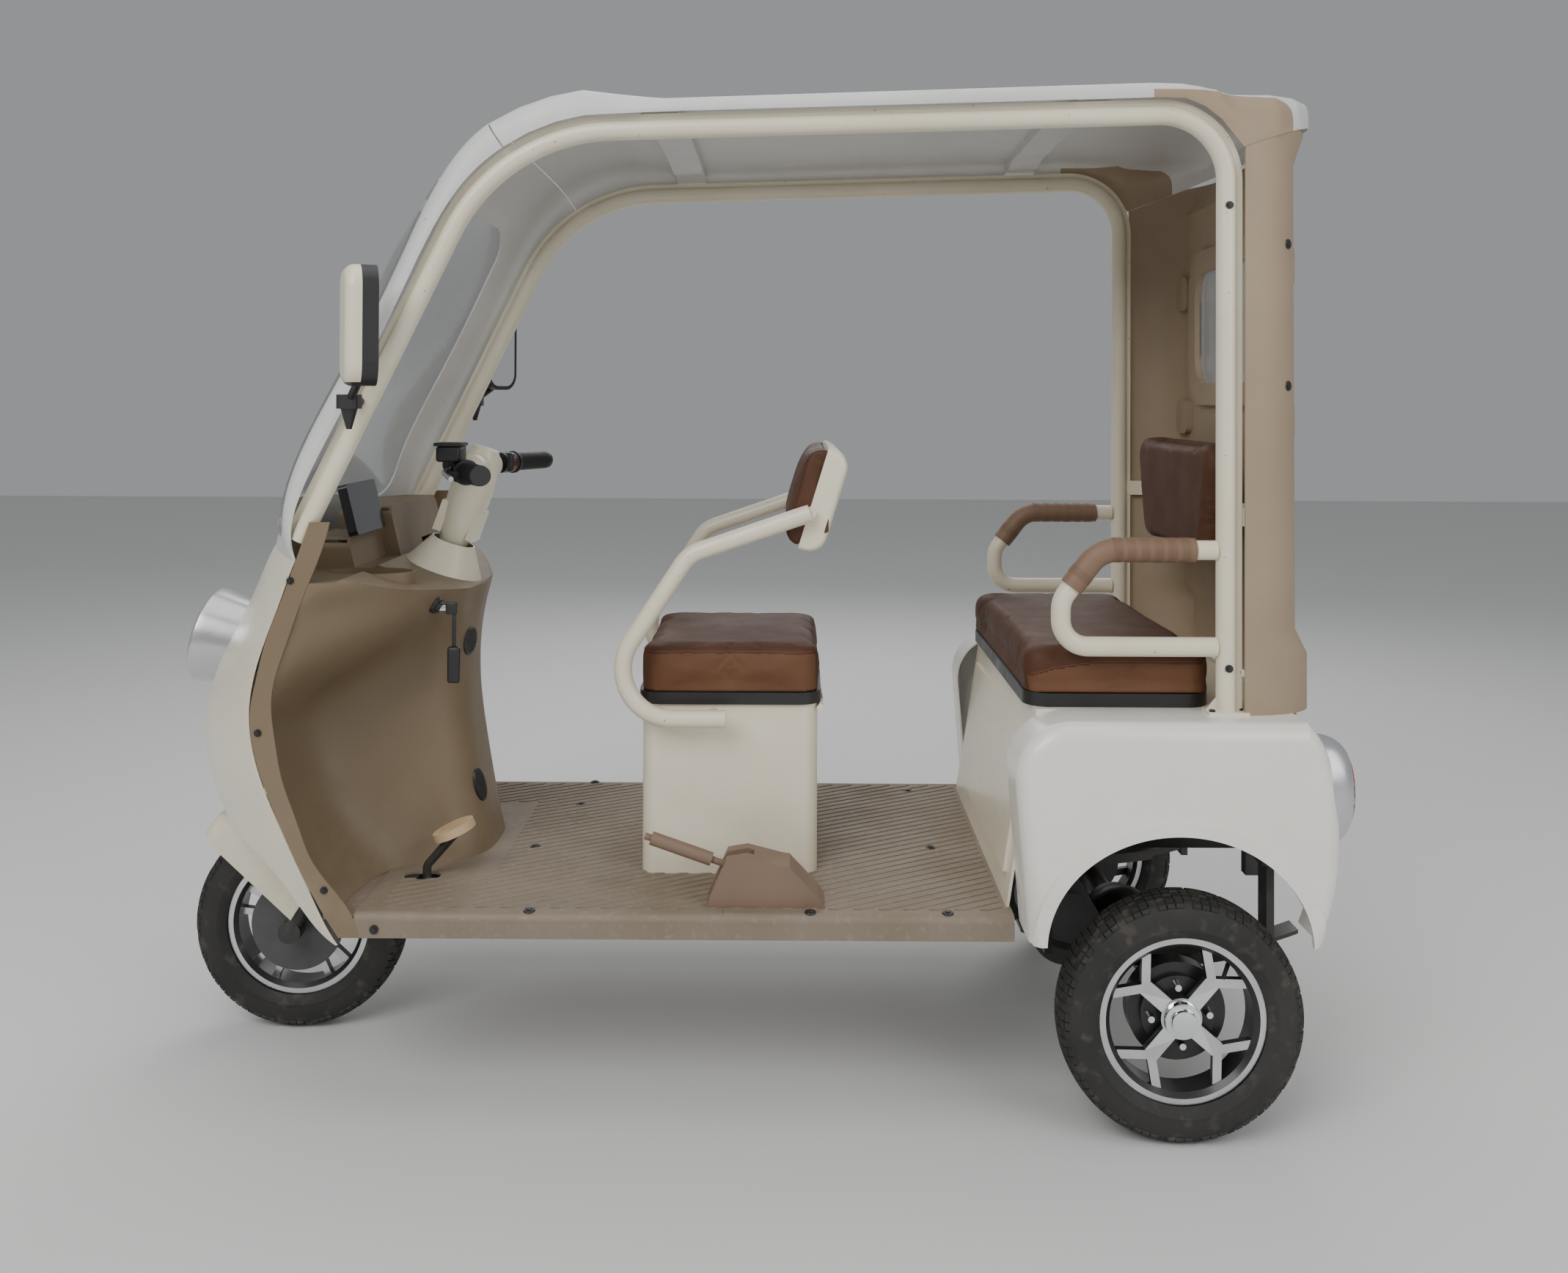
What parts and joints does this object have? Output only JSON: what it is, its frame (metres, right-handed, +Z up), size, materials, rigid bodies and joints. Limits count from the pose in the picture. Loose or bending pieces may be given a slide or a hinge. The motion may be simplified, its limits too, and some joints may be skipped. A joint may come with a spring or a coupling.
{
  "type": "auto rickshaw",
  "caption": "Open-sided three-wheeled passenger carrier with a hooped cabin, moulded roof and apron, driver's seat on a box, rear bench, fork-steered front wheel and driven rear axle.",
  "frame": {"origin": "on the ground, at the middle of the vehicle's length and width", "axes": "+X forward, +Y to the driver's left, +Z up"},
  "size_m": [2.1707, 1.1124, 1.8279],
  "materials": {
    "frame_black": "satin",
    "motor_grey": "matte",
    "battery_case": "matte",
    "floor_plastic": "matte",
    "inner_plastic": "matte",
    "wall_plastic": "matte",
    "body_cream": "gloss",
    "body_white": "gloss",
    "roof_white": "satin",
    "hoop_cream": "gloss",
    "screen_glass": "gloss",
    "lamp_glass": "gloss",
    "lamp_housing": "gloss",
    "lamp_red": "gloss",
    "seat_leather": "satin",
    "pan_black": "matte",
    "grip_brown": "matte",
    "cover_brown": "matte",
    "mirror_glass": "gloss",
    "rim_metal": "satin",
    "tyre_rubber": "matte"
  },
  "bodies": {
    "chassis": {"chassis_frame": "frame_black", "rear_axle": "frame_black", "rear_springs": "frame_black", "brake_pedal": "frame_black", "drive_motor": "motor_grey", "battery_pack": "battery_case", "floor_front": "floor_plastic", "floor_rear": "floor_plastic", "leg_shield": "inner_plastic", "dash": "inner_plastic", "dash_bins": "inner_plastic", "rear_wall": "wall_plastic", "front_apron": "body_cream", "driver_seat_box": "body_cream", "bench_base": "body_cream", "driver_backrest_shell": "body_cream", "tail_panel": "body_cream", "mirror_left": "body_cream", "mirror_right": "body_cream", "rear_fender_left": "body_white", "rear_fender_right": "body_white", "roof": "roof_white", "windscreen_surround": "roof_white", "cabin_hoop_left": "hoop_cream", "cabin_hoop_right": "hoop_cream", "hoop_feet": "hoop_cream", "driver_seat_tubes": "hoop_cream", "armrests": "hoop_cream", "backrest_bar": "hoop_cream", "windscreen": "screen_glass", "rear_window": "screen_glass", "headlamp_lens": "lamp_glass", "headlamp": "lamp_housing", "tail_lamps": "lamp_housing", "tail_lenses": "lamp_red", "bench_cushion": "seat_leather", "bench_backrest": "seat_leather", "driver_backrest_pad": "seat_leather", "bench_pan": "pan_black", "dash_display": "pan_black", "armrest_grips": "grip_brown", "parking_brake_cover": "cover_brown", "parking_brake_lever": "cover_brown", "steering_cowl": "cover_brown", "mirror_glasses": "mirror_glass"},
    "driver_seat_lid": {"driver_seat_pan": "pan_black", "driver_seat_cushion": "seat_leather"},
    "steering": {"front_fork": "frame_black", "front_mudguard": "body_cream", "handlebar": "frame_black", "handlebar_grips": "grip_brown", "handlebar_cover": "body_cream"},
    "front_wheel": {"front_rim": "rim_metal", "front_tyre": "tyre_rubber"},
    "rear_wheel_left": {"rear_rim_left": "rim_metal", "rear_tyre_left": "tyre_rubber"},
    "rear_wheel_right": {"rear_rim_right": "rim_metal", "rear_tyre_right": "tyre_rubber"}
  },
  "joints": [
    {"name": "steering_turn", "type": "hinge", "parent": "chassis", "child": "steering", "pos_m": [0.83819, 0, 0.20009], "axis": [-0.3305, 0, 0.9438], "range_deg": [-35, 35]},
    {"name": "front_wheel_spin", "type": "hinge", "parent": "steering", "child": "front_wheel", "pos_m": [0.8665, 0, 0.21], "axis": [0, 1, 0], "continuous": true},
    {"name": "rear_wheel_left_spin", "type": "hinge", "parent": "chassis", "child": "rear_wheel_left", "pos_m": [-0.7835, 0.4, 0.21], "axis": [0, 1, 0], "continuous": true},
    {"name": "rear_wheel_right_spin", "type": "hinge", "parent": "chassis", "child": "rear_wheel_right", "pos_m": [-0.7835, -0.4, 0.21], "axis": [0, 1, 0], "continuous": true},
    {"name": "driver_seat_lid_turn", "type": "hinge", "parent": "chassis", "child": "driver_seat_lid", "pos_m": [-0.1735, 0, 0.685], "axis": [0, -1, 0], "range_deg": [0, 45]}
  ]
}
